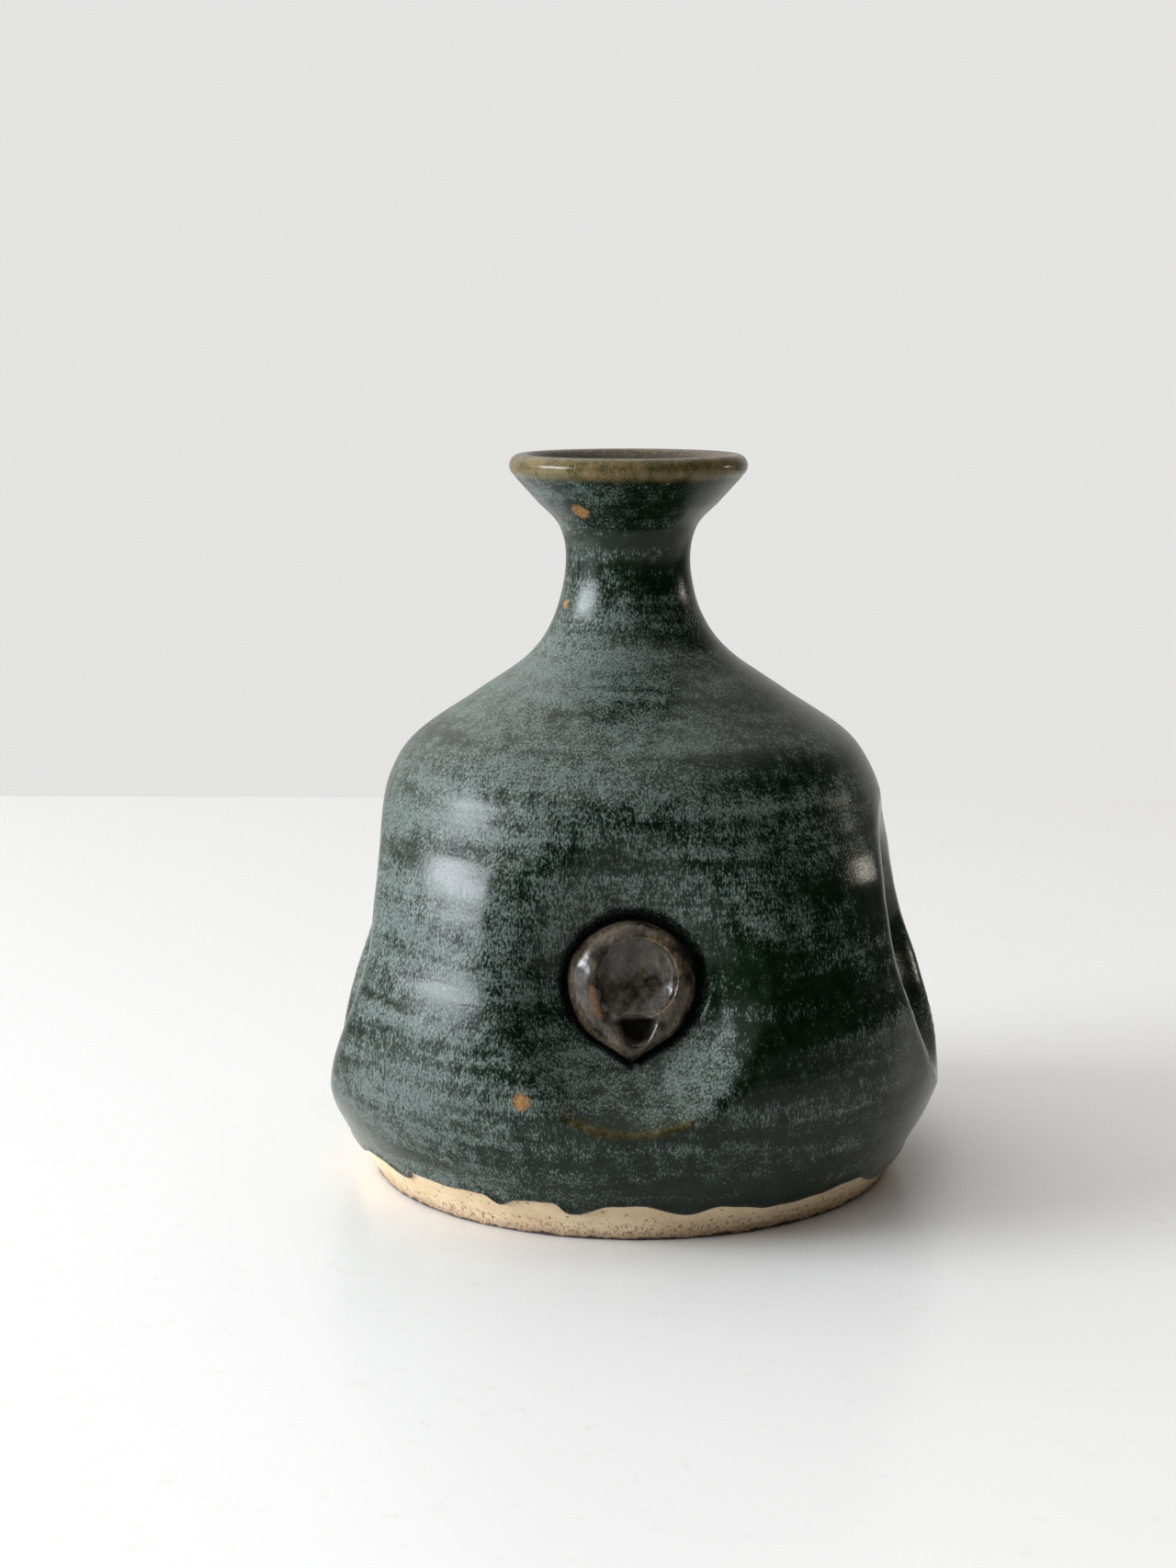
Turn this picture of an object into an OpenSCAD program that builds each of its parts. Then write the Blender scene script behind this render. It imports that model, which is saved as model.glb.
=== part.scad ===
// Wheel-thrown bud vase with four pressed dimples and a clay button in each.
// Origin at the middle of the foot, +Z up, front towards -Y. Millimetres.

/* [Form] */
// Height from the foot to the top of the lip
height = 140; // [130:1:155]
// Radius of the foot
foot_r = 51; // [48:0.5:54]
// Largest radius, low on the belly
belly_r = 62.6; // [60:0.2:66]
// Radius half way up the flank
flank_r = 57.6; // [56:0.2:60]
// Radius where the flank turns in to the shoulder
shoulder_r = 49.2; // [46:0.2:51]
// Radius of the neck at its narrowest
neck_r = 12.1; // [11.5:0.1:15]
// Radius of the lip
lip_r = 23; // [21:0.5:26]

/* [Clay] */
// Thickness of the thrown wall
wall = 4.2; // [3.6:0.1:4.8]
// Height of the chamber's floor above the table
floor_h = 8; // [7:0.5:11]
// Radius of the rounded bead on the lip
bead_r = 2.2; // [1.8:0.1:2.6]
// Depth of the trimmed recess under the foot
foot_recess = 1.6; // [1:0.1:2.5]
// Width of the ring that the vase stands on
foot_ring = 7; // [5:0.5:10]

/* [Glaze] */
// Thickness of the glaze coat
glaze = 0.5; // [0.3:0.05:0.7]
// Height of the line where the glaze stops above the foot
glaze_line = 6; // [4:0.5:9]

/* [Dimples] */
// Radius of the round bowl of a dimple
dimple_r = 36; // [35:0.5:37]
// Distance from the vase's axis to the deepest point of the front dimple
dimple_floor = 46; // [45.5:0.5:47]

/* [Buttons] */
// Radius of the round part of a button
button_r = 11; // [9:0.25:12]
// Distance from a button's middle to its lower point, more than button_r
button_point = 13.1; // [12:0.1:14]
// Thickness of a button
button_t = 5; // [4:0.25:6]
// How far a button sits below the middle of its dimple, facing a little upwards
button_drop = 7; // [6:0.25:8]
// Width of the pressed groove round a button
groove_w = 2.2; // [1.5:0.1:2.6]
// Radius of the thumb tip that hollowed a button
thumb_r = 16; // [14:0.5:24]
// Depth of the thumb's hollow
thumb_depth = 1.8; // [1:0.1:2.2]

/* [Hidden] */
$fn = 96;

// Each dimple: its turn about the vase's axis from the front, the height of its middle, and how much
// deeper than the front one it is pressed
FRONT = [0, 54, 0];
RIGHT = [84, 51, 2.5];
BACK = [181, 53, 1];
LEFT = [-87, 46, 3];
DIMPLES = [FRONT, RIGHT, BACK, LEFT];

clay_in = glaze + wall;
liner_in = clay_in + glaze;
outer_margin = 20;
spline_steps = 5;
bead_step = 20;
bead = [lip_r - bead_r, height - bead_r];
corner = 3;
thumb_shift = [1, 1.5];
drop_sides = 28;
button_tilt = asin(button_drop / dimple_r);
seat_reach = 20;

clay_colour = "burlywood";
glaze_colour = "darkslategray";
liner_colour = "saddlebrown";
button_colour = "tan";
button_glaze_colour = "dimgray";

// Where the thrown wall passes, from the foot up to just below the lip: [radius, height]
stations = [
    [foot_r, 0],
    [foot_r + 0.36 * (belly_r - foot_r), 0.05 * height],
    [foot_r + 0.76 * (belly_r - foot_r), 0.11 * height],
    [belly_r, 0.175 * height],
    [belly_r - 1, 0.26 * height],
    [flank_r, 0.36 * height],
    [flank_r - 3.4, 0.45 * height],
    [shoulder_r, 0.53 * height],
    [0.882 * shoulder_r, 0.605 * height],
    [0.63 * shoulder_r, 0.668 * height],
    [0.4 * shoulder_r, 0.725 * height],
    [neck_r + 2.2, 0.78 * height],
    [neck_r, 0.848 * height],
    [neck_r + 1.1, 0.9 * height],
    [lip_r - 5.3, 0.936 * height],
    [lip_r - 1.6, 0.965 * height]
];

// A smooth curve from b to c, led in by a and out by d
function spline_point(a, b, c, d, t) =
    0.5 * (2 * b + (c - a) * t + (2 * a - 5 * b + 4 * c - d) * t * t
           + (3 * b - a - 3 * c + d) * t * t * t);

// The station before the first or after the last is a mirror of its neighbour
function station(p, i) =
    i < 0 ? 2 * p[0] - p[1]
    : i >= len(p) ? 2 * p[len(p) - 1] - p[len(p) - 2]
    : p[i];

function spline(p, steps) = [
    for (i = [0 : len(p) - 2], k = [0 : steps - 1])
        spline_point(station(p, i - 1), p[i], p[i + 1], station(p, i + 2), k / steps),
    p[len(p) - 1]
];

// The line moved inwards, square to itself, by a depth
function sunk(p, depth) = [
    for (i = [0 : len(p) - 1])
        let (along = station(p, i + 1) - station(p, i - 1))
        p[i] + depth * [-along.y, along.x] / norm(along)
];

outline = spline(stations, spline_steps);

// The bead on the lip, from one angle round to another, sunk by a depth
function bead_arc(from, to, depth) = [
    for (a = [from : sign(to - from) * bead_step : to])
        bead + (bead_r - depth) * [cos(a), sin(a)]
];

// The half section of the pot as a solid, its outside sunk by a depth
function outside_section(depth) =
    let (wall_line = sunk(outline, depth))
    concat(
        [[0, 0], [foot_r - depth, 0]],
        [for (i = [1 : len(wall_line) - 1]) wall_line[i]],
        bead_arc(-50, 90, depth),
        [[0, height - depth]]
    );

// The half section of the hollow inside, its wall sunk by a depth from the outside
function hollow_section(depth, bead_depth) =
    let (floor_z = floor_h + depth - clay_in,
         inner = sunk(outline, depth),
         side = [for (i = [0 : len(outline) - 1]) if (outline[i].y > floor_h + corner) inner[i]])
    concat(
        [[0, floor_z], [side[0].x - corner, floor_z]],
        side,
        bead_arc(130, 90, bead_depth),
        [[bead.x, height + outer_margin], [0, height + outer_margin]]
    );

// Puts its children at the middle of a dimple's round bowl: +Z straight out of the vase's side, +Y up
module at_bowl(dimple) {
    rotate([0, 0, dimple[0]])
        translate([0, 0, dimple[1]])
        rotate([90, 0, 0])
        translate([0, 0, dimple_floor + dimple_r - dimple[2]])
        children();
}

// Puts its children on the floor of a dimple, square to it: +Z out of the bowl, +Y up
module at_button(dimple) {
    at_bowl(dimple)
        rotate([-button_tilt, 0, 0])
        translate([0, 0, -dimple_r])
        children();
}

// The bowl of one dimple, grown by a depth
module bowl(dimple, depth) {
    at_bowl(dimple) sphere(dimple_r + depth);
}

// A round block with a point at its lower edge, standing on z = 0 and grown sideways by grow
module drop(grow, thickness) {
    r = button_r + grow;
    point = button_point * r / button_r;
    tangent = acos(r / point);
    sweep = 360 - 2 * tangent;
    round_side = [
        for (i = [0 : drop_sides])
            let (a = tangent - 90 + sweep * i / drop_sides)
            r * [cos(a), sin(a)]
    ];
    linear_extrude(thickness) polygon(concat([[0, -point]], round_side));
}

// The flat seat with its groove, pressed into the floor of one dimple and grown by a depth
module seat(dimple, depth) {
    at_button(dimple) translate([0, 0, -depth]) drop(groove_w + depth, seat_reach);
}

// The pot's outside as a solid block, its surface sunk by a depth
module outside(depth) {
    difference() {
        rotate_extrude($fn = 180) polygon(outside_section(depth));
        for (dimple = DIMPLES) {
            bowl(dimple, depth);
            seat(dimple, depth);
        }
    }
}

// The space inside the pot, its wall sunk by a depth from the outside
module hollow(depth, bead_depth) {
    difference() {
        rotate_extrude($fn = 180) polygon(hollow_section(depth, bead_depth));
        for (dimple = DIMPLES) bowl(dimple, depth);
    }
}

// One clay button, grown by the thickness of a coat of glaze
module button_block(dimple, coat) {
    hollow_offset = thumb_r - thumb_depth;
    at_button(dimple) translate([0, 0, -glaze])
        difference() {
            drop(coat, button_t + coat);
            translate([thumb_shift.x, thumb_shift.y, button_t + hollow_offset])
                sphere(thumb_r - coat);
        }
}

module button(dimple) {
    color(button_colour) button_block(dimple, 0);
}

// The coat on a button's face and sides, down to the glaze on the seat
module button_coat(dimple) {
    color(button_glaze_colour)
    difference() {
        button_block(dimple, glaze);
        button_block(dimple, 0);
        at_button(dimple) translate([0, 0, -seat_reach]) drop(groove_w, seat_reach);
    }
}

module stoneware_body() {
    color(clay_colour)
    difference() {
        outside(glaze);
        hollow(clay_in, glaze);
        translate([0, 0, -foot_recess]) cylinder(r = foot_r - foot_ring, h = 2 * foot_recess);
    }
}

module outer_glaze() {
    color(glaze_colour)
    difference() {
        outside(0);
        outside(glaze);
        translate([0, 0, glaze_line - outer_margin]) cylinder(r = 2 * belly_r, h = outer_margin);
        translate([0, 0, bead.y]) cylinder(r = bead.x, h = outer_margin);
        for (dimple = DIMPLES)
            at_button(dimple) translate([0, 0, -2 * glaze]) drop(0, button_t);
    }
}

module liner_glaze() {
    color(liner_colour)
    difference() {
        hollow(clay_in, glaze);
        hollow(liner_in, 0);
        translate([0, 0, height]) cylinder(r = lip_r, h = 2 * outer_margin);
    }
}

stoneware_body();
outer_glaze();
liner_glaze();
button(FRONT);  // front_button
button(RIGHT);  // right_button
button(BACK);  // back_button
button(LEFT);  // left_button
button_coat(FRONT);  // front_button_glaze
button_coat(RIGHT);  // right_button_glaze
button_coat(BACK);  // back_button_glaze
button_coat(LEFT);  // left_button_glaze
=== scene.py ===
"""The looks of a wheel-thrown bud vase with four pressed dimples and a clay button in each.

Shapes are worked out in millimetres and turned into metres when a mesh is made.
Angles round the vase are measured from the front, -Y, and grow towards +X.
"""

import math

import bmesh
import bpy
import numpy as np
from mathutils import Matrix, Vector


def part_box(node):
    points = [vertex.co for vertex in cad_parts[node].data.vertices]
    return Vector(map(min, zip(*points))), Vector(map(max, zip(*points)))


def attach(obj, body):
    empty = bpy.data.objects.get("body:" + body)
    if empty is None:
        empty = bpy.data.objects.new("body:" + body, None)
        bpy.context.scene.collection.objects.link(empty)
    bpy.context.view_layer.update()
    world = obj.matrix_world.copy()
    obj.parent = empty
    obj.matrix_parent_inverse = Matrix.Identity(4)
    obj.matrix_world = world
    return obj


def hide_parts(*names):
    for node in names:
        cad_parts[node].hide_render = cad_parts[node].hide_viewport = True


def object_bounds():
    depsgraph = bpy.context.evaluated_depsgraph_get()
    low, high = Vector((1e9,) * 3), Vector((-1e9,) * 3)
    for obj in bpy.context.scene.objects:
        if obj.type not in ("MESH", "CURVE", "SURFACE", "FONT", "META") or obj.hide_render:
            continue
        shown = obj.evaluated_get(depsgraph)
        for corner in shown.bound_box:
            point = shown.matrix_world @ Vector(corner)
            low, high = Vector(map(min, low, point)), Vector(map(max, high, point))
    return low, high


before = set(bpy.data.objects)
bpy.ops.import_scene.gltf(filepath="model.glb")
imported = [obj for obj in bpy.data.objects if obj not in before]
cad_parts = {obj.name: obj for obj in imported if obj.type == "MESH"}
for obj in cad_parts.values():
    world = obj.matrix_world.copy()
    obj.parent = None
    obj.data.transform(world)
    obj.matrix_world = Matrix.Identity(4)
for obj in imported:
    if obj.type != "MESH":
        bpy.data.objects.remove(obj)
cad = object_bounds()

MM = 0.001


def box_mm(node):
    """The lowest and highest corner of a CAD node, in millimetres."""
    low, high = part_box(node)
    return np.array(low) / MM, np.array(high) / MM


def widest_mm(node):
    """The largest distance of a CAD node from the vase's axis, in millimetres."""
    return max(math.hypot(v.co.x, v.co.y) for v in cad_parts[node].data.vertices) / MM


# ------------------------------------------------------------------ sizes
HEIGHT = cad[1].z / MM
BELLY_R = widest_mm("outer_glaze")
FOOT_R = 51
FLANK_R = 57.6
SHOULDER_R = 49.2
NECK_R = 12.1
LIP_R = 23
BEAD_R = 2.2
GLAZE = 0.5
CLAY_IN = 4.7
LINER_IN = 5.2
FLOOR_H = 8
GLAZE_LINE = 6
FOOT_RECESS = 1.6
FOOT_RING = 7
BOWL_R = 36
BOWL_FLOOR = 46
BUTTON_R = (box_mm("front_button")[1][0] - box_mm("front_button")[0][0]) / 2
BUTTON_POINT = 13.1
BUTTON_T = 5
BUTTON_DROP = 7
TILT = math.asin(BUTTON_DROP / BOWL_R)
BEAD = np.array([LIP_R - BEAD_R, HEIGHT - BEAD_R])

# Where the thrown wall passes, from the foot up to just below the lip: [radius, height]
STATIONS = [
    [FOOT_R, 0],
    [FOOT_R + 0.36 * (BELLY_R - FOOT_R), 0.05 * HEIGHT],
    [FOOT_R + 0.76 * (BELLY_R - FOOT_R), 0.11 * HEIGHT],
    [BELLY_R, 0.175 * HEIGHT],
    [BELLY_R - 1, 0.26 * HEIGHT],
    [FLANK_R, 0.36 * HEIGHT],
    [FLANK_R - 3.4, 0.45 * HEIGHT],
    [SHOULDER_R, 0.53 * HEIGHT],
    [0.882 * SHOULDER_R, 0.605 * HEIGHT],
    [0.63 * SHOULDER_R, 0.668 * HEIGHT],
    [0.4 * SHOULDER_R, 0.725 * HEIGHT],
    [NECK_R + 2.2, 0.78 * HEIGHT],
    [NECK_R, 0.848 * HEIGHT],
    [NECK_R + 1.1, 0.9 * HEIGHT],
    [LIP_R - 5.3, 0.936 * HEIGHT],
    [LIP_R - 1.6, 0.965 * HEIGHT],
]


# ------------------------------------------------------------------ small helpers
def smoothstep(x):
    x = np.clip(x, 0, 1)
    return x * x * (3 - 2 * x)


def bump(x):
    """1 at x = 0, falling smoothly to 0 at x = -1 and x = 1."""
    return smoothstep(1 - np.abs(x))


def soft_max(a, b, k):
    """The larger of a and b, rounded over a width k where they meet."""
    h = np.clip(0.5 + 0.5 * (a - b) / k, 0, 1)
    return b * (1 - h) + a * h + k * h * (1 - h)


def wrapped(angle):
    """The same angle, from minus half a turn to plus half a turn."""
    return (angle + math.pi) % (2 * math.pi) - math.pi


def around(angle, radius):
    """The x and y of a point at an angle from the front and a distance from the axis."""
    return radius * np.sin(angle), -radius * np.cos(angle)


def spline_point(a, b, c, d, t):
    """A point of the smooth curve from b to c, led in by a and out by d."""
    square = (2 * a - 5 * b + 4 * c - d) * t**2
    cube = (3 * b - a - 3 * c + d) * t**3
    return 0.5 * (2 * b + (c - a) * t + square + cube)


def spline(points, steps):
    """A smooth line through the points."""
    p = np.array(points, float)
    p = np.vstack([2 * p[0] - p[1], p, 2 * p[-1] - p[-2]])
    line = [
        spline_point(a, b, c, d, t)
        for a, b, c, d in zip(p, p[1:], p[2:], p[3:])
        for t in np.arange(steps) / steps
    ]
    return np.array(line + [p[-2]])


def arc(centre, radius, start, stop, steps):
    """Points on a circle from one angle to another, in degrees."""
    angle = np.radians(np.linspace(start, stop, steps))
    return centre + radius * np.stack([np.cos(angle), np.sin(angle)], 1)


class Line:
    """A half section, [radius, height], measured along its length. Its inward side is on its left."""

    def __init__(self, points, step=0.2):
        lengths = np.concatenate([[0], np.cumsum(np.linalg.norm(np.diff(points, axis=0), axis=1))])
        self.length = lengths[-1]
        self.s = np.linspace(0, self.length, int(self.length / step))
        self.p = np.stack([np.interp(self.s, lengths, points[:, k]) for k in (0, 1)], 1)
        along = np.gradient(self.p, axis=0)
        reach = 5
        padded = np.pad(along, ((reach, reach), (0, 0)), "edge")
        along = np.stack([np.convolve(padded[:, k], np.hanning(2 * reach + 1), "valid") for k in (0, 1)], 1)
        along /= np.linalg.norm(along, axis=1)[:, None]
        self.inward = np.stack([-along[:, 1], along[:, 0]], 1)

    def sunk(self, depth):
        """The line moved inwards by a depth."""
        return self.p + depth * self.inward

    def at(self, s, depth=0.0):
        """The radius and height at a length along the line, moved inwards by a depth."""
        r, z = (np.interp(s, self.s, self.p[:, k]) for k in (0, 1))
        inward_r, inward_z = (np.interp(s, self.s, self.inward[:, k]) for k in (0, 1))
        return r + depth * inward_r, z + depth * inward_z

    def length_at(self, height):
        return np.interp(height, self.p[:, 1], self.s)


OUTSIDE = Line(np.vstack([spline(STATIONS, 24), arc(BEAD, BEAD_R, -50, 90, 24)]))


# ------------------------------------------------------------------ the dimples
class Dimple:
    """One pressed dimple. Its button has its own directions: across to the right, up, and out of the bowl.

    deeper is how much further than the front one it is pressed. soft is the width over which its edge is
    rounded: at its foot, and what its sides and its top add to that.
    """

    def __init__(self, side, degrees, deeper, soft):
        high = box_mm(side + "_button")[1]
        self.side = side
        self.seed = 0.14 * degrees
        self.soft = soft
        turn = self.turn = math.radians(degrees)
        out = np.array([math.sin(turn), -math.cos(turn), 0])
        above = np.array([0, 0, 1])
        self.across = np.array([math.cos(turn), math.sin(turn), 0])
        self.up = above * math.cos(TILT) - out * math.sin(TILT)
        self.out = above * math.sin(TILT) + out * math.cos(TILT)
        top_above_bowl = BUTTON_R * math.cos(TILT) + (BUTTON_T - GLAZE - BOWL_R) * math.sin(TILT)
        self.bowl = out * (BOWL_FLOOR + BOWL_R - deeper) + above * (high[2] - top_above_bowl)
        self.seat = self.bowl - BOWL_R * self.out

    def world(self, across, up, out):
        """Points of the vase from points measured from the middle of the button's seat."""
        across, up, out = (np.asarray(v, float)[..., None] for v in (across, up, out))
        return self.seat + across * self.across + up * self.up + out * self.out

    def local(self, points):
        """How far across and up from the middle of the button's seat points of the vase are."""
        return (points - self.seat) @ self.across, (points - self.seat) @ self.up

    def outside_bowl(self, x, y, z, depth):
        cx, cy, cz = self.bowl
        return np.sqrt((x - cx) ** 2 + (y - cy) ** 2 + (z - cz) ** 2) - BOWL_R - depth


DIMPLES = [
    Dimple("front", 0, 0, (1.4, 5, 4)),
    Dimple("right", 84, 2.5, (2.2, 0.6, 3)),
    Dimple("back", 181, 1, (2.4, 3, 4)),
    Dimple("left", -87, 3, (5.4, 1, 3)),
]
# The dimples press the wall between these heights
PRESSED_FROM = 8
PRESSED_TO = 92
# The bulge that pressing the left dimple pushed out below it. TURN and ROUND, its middle and its reach round
# the vase, are in degrees.
BULGE_TURN = -84
BULGE_ROUND = 40
BULGE_HEIGHT = 30
BULGE_REACH = 17
BULGE_OUT = 2.6


def wall_tables(depth):
    """The wall's radius and the cosine of its slope, by height, at a depth below the outside."""
    line = OUTSIDE.sunk(depth)
    below_bead = line[:, 1] < HEIGHT - 4
    height = np.linspace(-1, PRESSED_TO + 8, 800)
    radius = np.interp(height, line[below_bead, 1], line[below_bead, 0])
    slope = np.clip(np.gradient(radius, height), -3, 3)
    return height, radius, 1 / np.sqrt(1 + slope**2)


TABLES = {depth: wall_tables(depth) for depth in (0.0, GLAZE, CLAY_IN, LINER_IN)}


def table_for(depth):
    """The wall's table for the stated depth that is nearest."""
    return TABLES[min(TABLES, key=lambda d: abs(d - depth))]


def outside_thrown(x, y, z, depth):
    """How far a point is outside the thrown wall, with the bulge below the left dimple."""
    height, radius, slope = table_for(depth)
    off = wrapped(np.arctan2(x, -y) - math.radians(BULGE_TURN))
    bulge = BULGE_OUT * bump((z - BULGE_HEIGHT) / BULGE_REACH) * bump(off / math.radians(BULGE_ROUND))
    return (np.hypot(x, y) - bulge - np.interp(z, height, radius)) * np.interp(z, height, slope)


def wall_field(x, y, z, depth):
    """Below 0 inside the pressed wall, which is rounded wherever a dimple's bowl cuts it."""
    field = outside_thrown(x, y, z, depth)
    for dimple in DIMPLES:
        foot, sides, top = dimple.soft
        softness = foot + sides * smoothstep((z - 30) / 20) + top * smoothstep((z - 52) / 18)
        field = soft_max(field, -dimple.outside_bowl(x, y, z, depth), softness)
    return field


# How often solve halves the span, to get below a millionth of a millimetre
HALVINGS = 34


def solve(place, low, high):
    """The length between low and high at which place(length) crosses the wall."""
    for _ in range(HALVINGS):
        middle = (low + high) / 2
        inside = wall_field(*place(middle)) < 0
        low = np.where(inside, middle, low)
        high = np.where(inside, high, middle)
    return (low + high) / 2


def pressed(angle, r, z, depth):
    """The radius of the wall at an angle and height where the dimples have pressed it in."""
    low = np.full(r.shape, 20.0)
    high = np.full(r.shape, 72.0)
    root = solve(lambda radius: (*around(angle, radius), z, depth), low, high)
    height, thrown, _ = table_for(depth)
    share = root / np.interp(z, height, thrown)
    return np.where((z < PRESSED_TO) & (z > PRESSED_FROM), r * share, r)


def drop_radius(angle):
    """The outline of a button from its middle: a circle with a point downwards. Angle 0 is to the right."""
    from_point = np.abs(wrapped(angle + math.pi / 2))
    tangent = math.acos(BUTTON_R / BUTTON_POINT)
    return BUTTON_R / np.cos(np.maximum(tangent - from_point, 0))


def groove_width(angle):
    """The pressed groove is wide above and to the right of a button and narrow at its lower left."""
    return 2.15 + 0.5 * np.cos(angle - math.radians(75))


# ------------------------------------------------------------------ the unevenness of hand work
def warp(points):
    """Every piece shares this: an oval wall with faint throwing rings, and a neck that leans to the left."""
    x, y, z = points[:, 0], points[:, 1], points[:, 2]
    turn = np.arctan2(x, -y)
    radius = np.hypot(x, y)
    above_foot = smoothstep((z - 2) / 10)
    oval = 0.0035 * np.cos(2 * turn + 0.7) + 0.002 * np.cos(3 * turn - 1.1 + z / 60)
    ring = (
        0.016 * np.sin(2 * math.pi * z / 6.1 + turn)
        + 0.008 * np.sin(2 * math.pi * z / 3.4 + turn + 1.3 + 0.6 * np.sin(2 * turn))
        + 0.045 * np.sin(2 * math.pi * z / 12.3 + turn - 0.7)
    )
    strength = above_foot * (1 - 0.75 * smoothstep((z - 96) / 12)) * (1 - smoothstep((z - 126) / 6))
    moved = radius * (1 + oval * above_foot) + ring * strength * smoothstep((radius - 6) / 6)
    scale = moved / np.maximum(radius, 1e-6)
    lean = 0.9 * smoothstep((z - 95) / 18)
    return np.stack([x * scale - lean, y * scale, z], 1)


# ------------------------------------------------------------------ mesh building
class Shell:
    """Collects points and faces, then makes one object of them."""

    def __init__(self):
        self.points = []
        self.faces = []
        self.marks = []
        self.count = 0

    def add(self, points, thin=0.0, pool=0.0):
        """Adds points of any leading shape and gives back their numbers in that shape.

        thin is 1 where the glaze has run thin. The other mark is 1 where the colour goes near black:
        glaze that lies deep, and painted shade in the grooves round the buttons, in their notches
        and low on their sides.
        """
        points = np.asarray(points, float)
        shape = points.shape[:-1]
        amount = int(np.prod(shape))
        self.points.append(points.reshape(-1, 3))
        marks = [np.broadcast_to(m, shape).reshape(-1) for m in (thin, pool)]
        self.marks.append(np.stack(marks, 1))
        self.count += amount
        return np.arange(self.count - amount, self.count).reshape(shape)

    def quads(self, rows, keep=None):
        """Joins rows of numbers that close on themselves. keep says which cells are wanted."""
        a, d = rows[:-1], rows[1:]
        b, c = np.roll(a, -1, 1), np.roll(d, -1, 1)
        cells = np.stack([a, b, c, d], -1)
        if keep is not None:
            cells = cells[keep]
        self.faces.extend(map(tuple, cells.reshape(-1, 4).tolist()))

    def strip(self, fine, coarse):
        """Joins a ring to one with a whole fraction of its points."""
        step = len(fine) // len(coarse)
        if step == 1:
            self.quads(np.stack([fine, coarse]))
            return
        for j, here in enumerate(coarse):
            there = coarse[(j + 1) % len(coarse)]
            part = [fine[(j * step + i) % len(fine)] for i in range(step + 1)]
            half = step // 2
            for i in range(step):
                self.faces.append((part[i], part[i + 1], here if i < half else there))
            self.faces.append((part[half], there, here))

    def fan(self, ring, centre, pool=0.0):
        """Joins a ring to one new point at the centre."""
        middle = self.add([centre], pool=pool)[0]
        for a, b in zip(ring, np.roll(ring, -1)):
            self.faces.append((int(a), int(b), int(middle)))

    def build(self, name, material, node):
        points = warp(np.vstack(self.points)) * MM
        used = np.zeros(len(points), bool)
        for face in self.faces:
            used[list(face)] = True
        number = np.cumsum(used) - 1
        faces = [tuple(int(number[i]) for i in face) for face in self.faces]
        mesh = bpy.data.meshes.new(name)
        mesh.from_pydata(points[used].tolist(), [], faces)
        marks = np.vstack(self.marks)[used]
        for k, mark in enumerate(("thin", "pool")):
            layer = mesh.attributes.new(mark, "FLOAT", "POINT")
            layer.data.foreach_set("value", marks[:, k].astype(np.float32))
        tidy = bmesh.new()
        tidy.from_mesh(mesh)
        bmesh.ops.recalc_face_normals(tidy, faces=tidy.faces)
        tidy.to_mesh(mesh)
        tidy.free()
        mesh.shade_smooth()
        mesh.materials.append(material)
        piece = bpy.data.objects.new(name, mesh)
        bpy.context.scene.collection.objects.link(piece)
        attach(piece, "root")
        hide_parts(node)
        return piece


def angles(columns):
    """Evenly spread angles round the vase."""
    return np.arange(columns) * 2 * math.pi / columns


def ring_points(angle, r, z):
    """Points at angles from the front, distances from the axis and heights."""
    x, y = around(angle, r)
    return np.stack([x, y, np.broadcast_to(z, x.shape)], -1)


# The square of wall that is rebuilt round a button: its reach below and above the middle of the seat, and
# half its width as a share of the way round the vase
HOLE_BELOW = 21.4
HOLE_ABOVE = 16.5
HOLE_SHARE = 0.06


def hole_rows(z, dimple):
    """The first and last row of the square that is rebuilt round a button."""
    inside = np.nonzero((z > dimple.seat[2] - HOLE_BELOW) & (z < dimple.seat[2] + HOLE_ABOVE))[0]
    return inside[0], inside[-1]


def spread_rows(stops):
    """Row positions: stops are (height, spacing above it), the last height ends the rows."""
    rows = []
    for (low, step), (high, _) in zip(stops, stops[1:]):
        start, stop = OUTSIDE.length_at(low), OUTSIDE.length_at(high)
        rows.extend(np.linspace(start, stop, max(int(round((stop - start) / step)), 1), endpoint=False))
    return np.array(rows)


# How far outside a button's outline the closest rings of wall round it lie, and under it below 0
GROOVE_RINGS = (3.4, 3.1, 2.8, 2.5, 2.25, 2.0, 1.75, 1.5, 1.25, 1.0, 0.7, 0.35, -0.3, -2.0, -5.5)


def seat_patch(shell, dimple, loop, points, depth):
    """Fills the square round one button, whose edge is the loop, with rings that follow its outline."""
    across, up = dimple.local(points)
    angle = np.arctan2(up, across)
    at_point = np.argmin(np.abs(angle + math.pi / 2))
    angle[at_point] = -math.pi / 2
    edge = np.hypot(across, up)
    outline = drop_radius(angle)
    outermost = outline * (1 + GROOVE_RINGS[0] / BUTTON_R)
    outer_rings = 9
    radii = [edge + (outermost - edge) * k / outer_rings for k in range(1, outer_rings)]
    radii += [outline * (1 + grow / BUTTON_R) for grow in GROOVE_RINGS]
    radii = np.array(radii)
    v, w = radii * np.cos(angle), radii * np.sin(angle)
    inner_share = np.arange(1, outer_rings + 1)[:, None] / outer_rings
    v[:outer_rings] += (across - edge * np.cos(angle)) * (1 - inner_share)
    grow = (radii / outline - 1) * BUTTON_R
    out = groove_profile(angle, grow, solve_out(dimple, v, w, depth), depth)
    points = dimple.world(v, w, out)
    thin = crease_at(*np.moveaxis(points, -1, 0), depth) * smoothstep((grow - 4) / 2)
    # Painted shade, together with pooled glaze: near black in the groove round the button and just outside it
    pool = smoothstep(1.2 - grow / (1.45 * groove_width(angle)))
    rings = shell.add(points, thin=thin, pool=pool)
    shell.quads(np.vstack([loop, rings]))
    shell.fan(rings[-1], dimple.seat - depth * dimple.out, pool=1.0)


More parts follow.
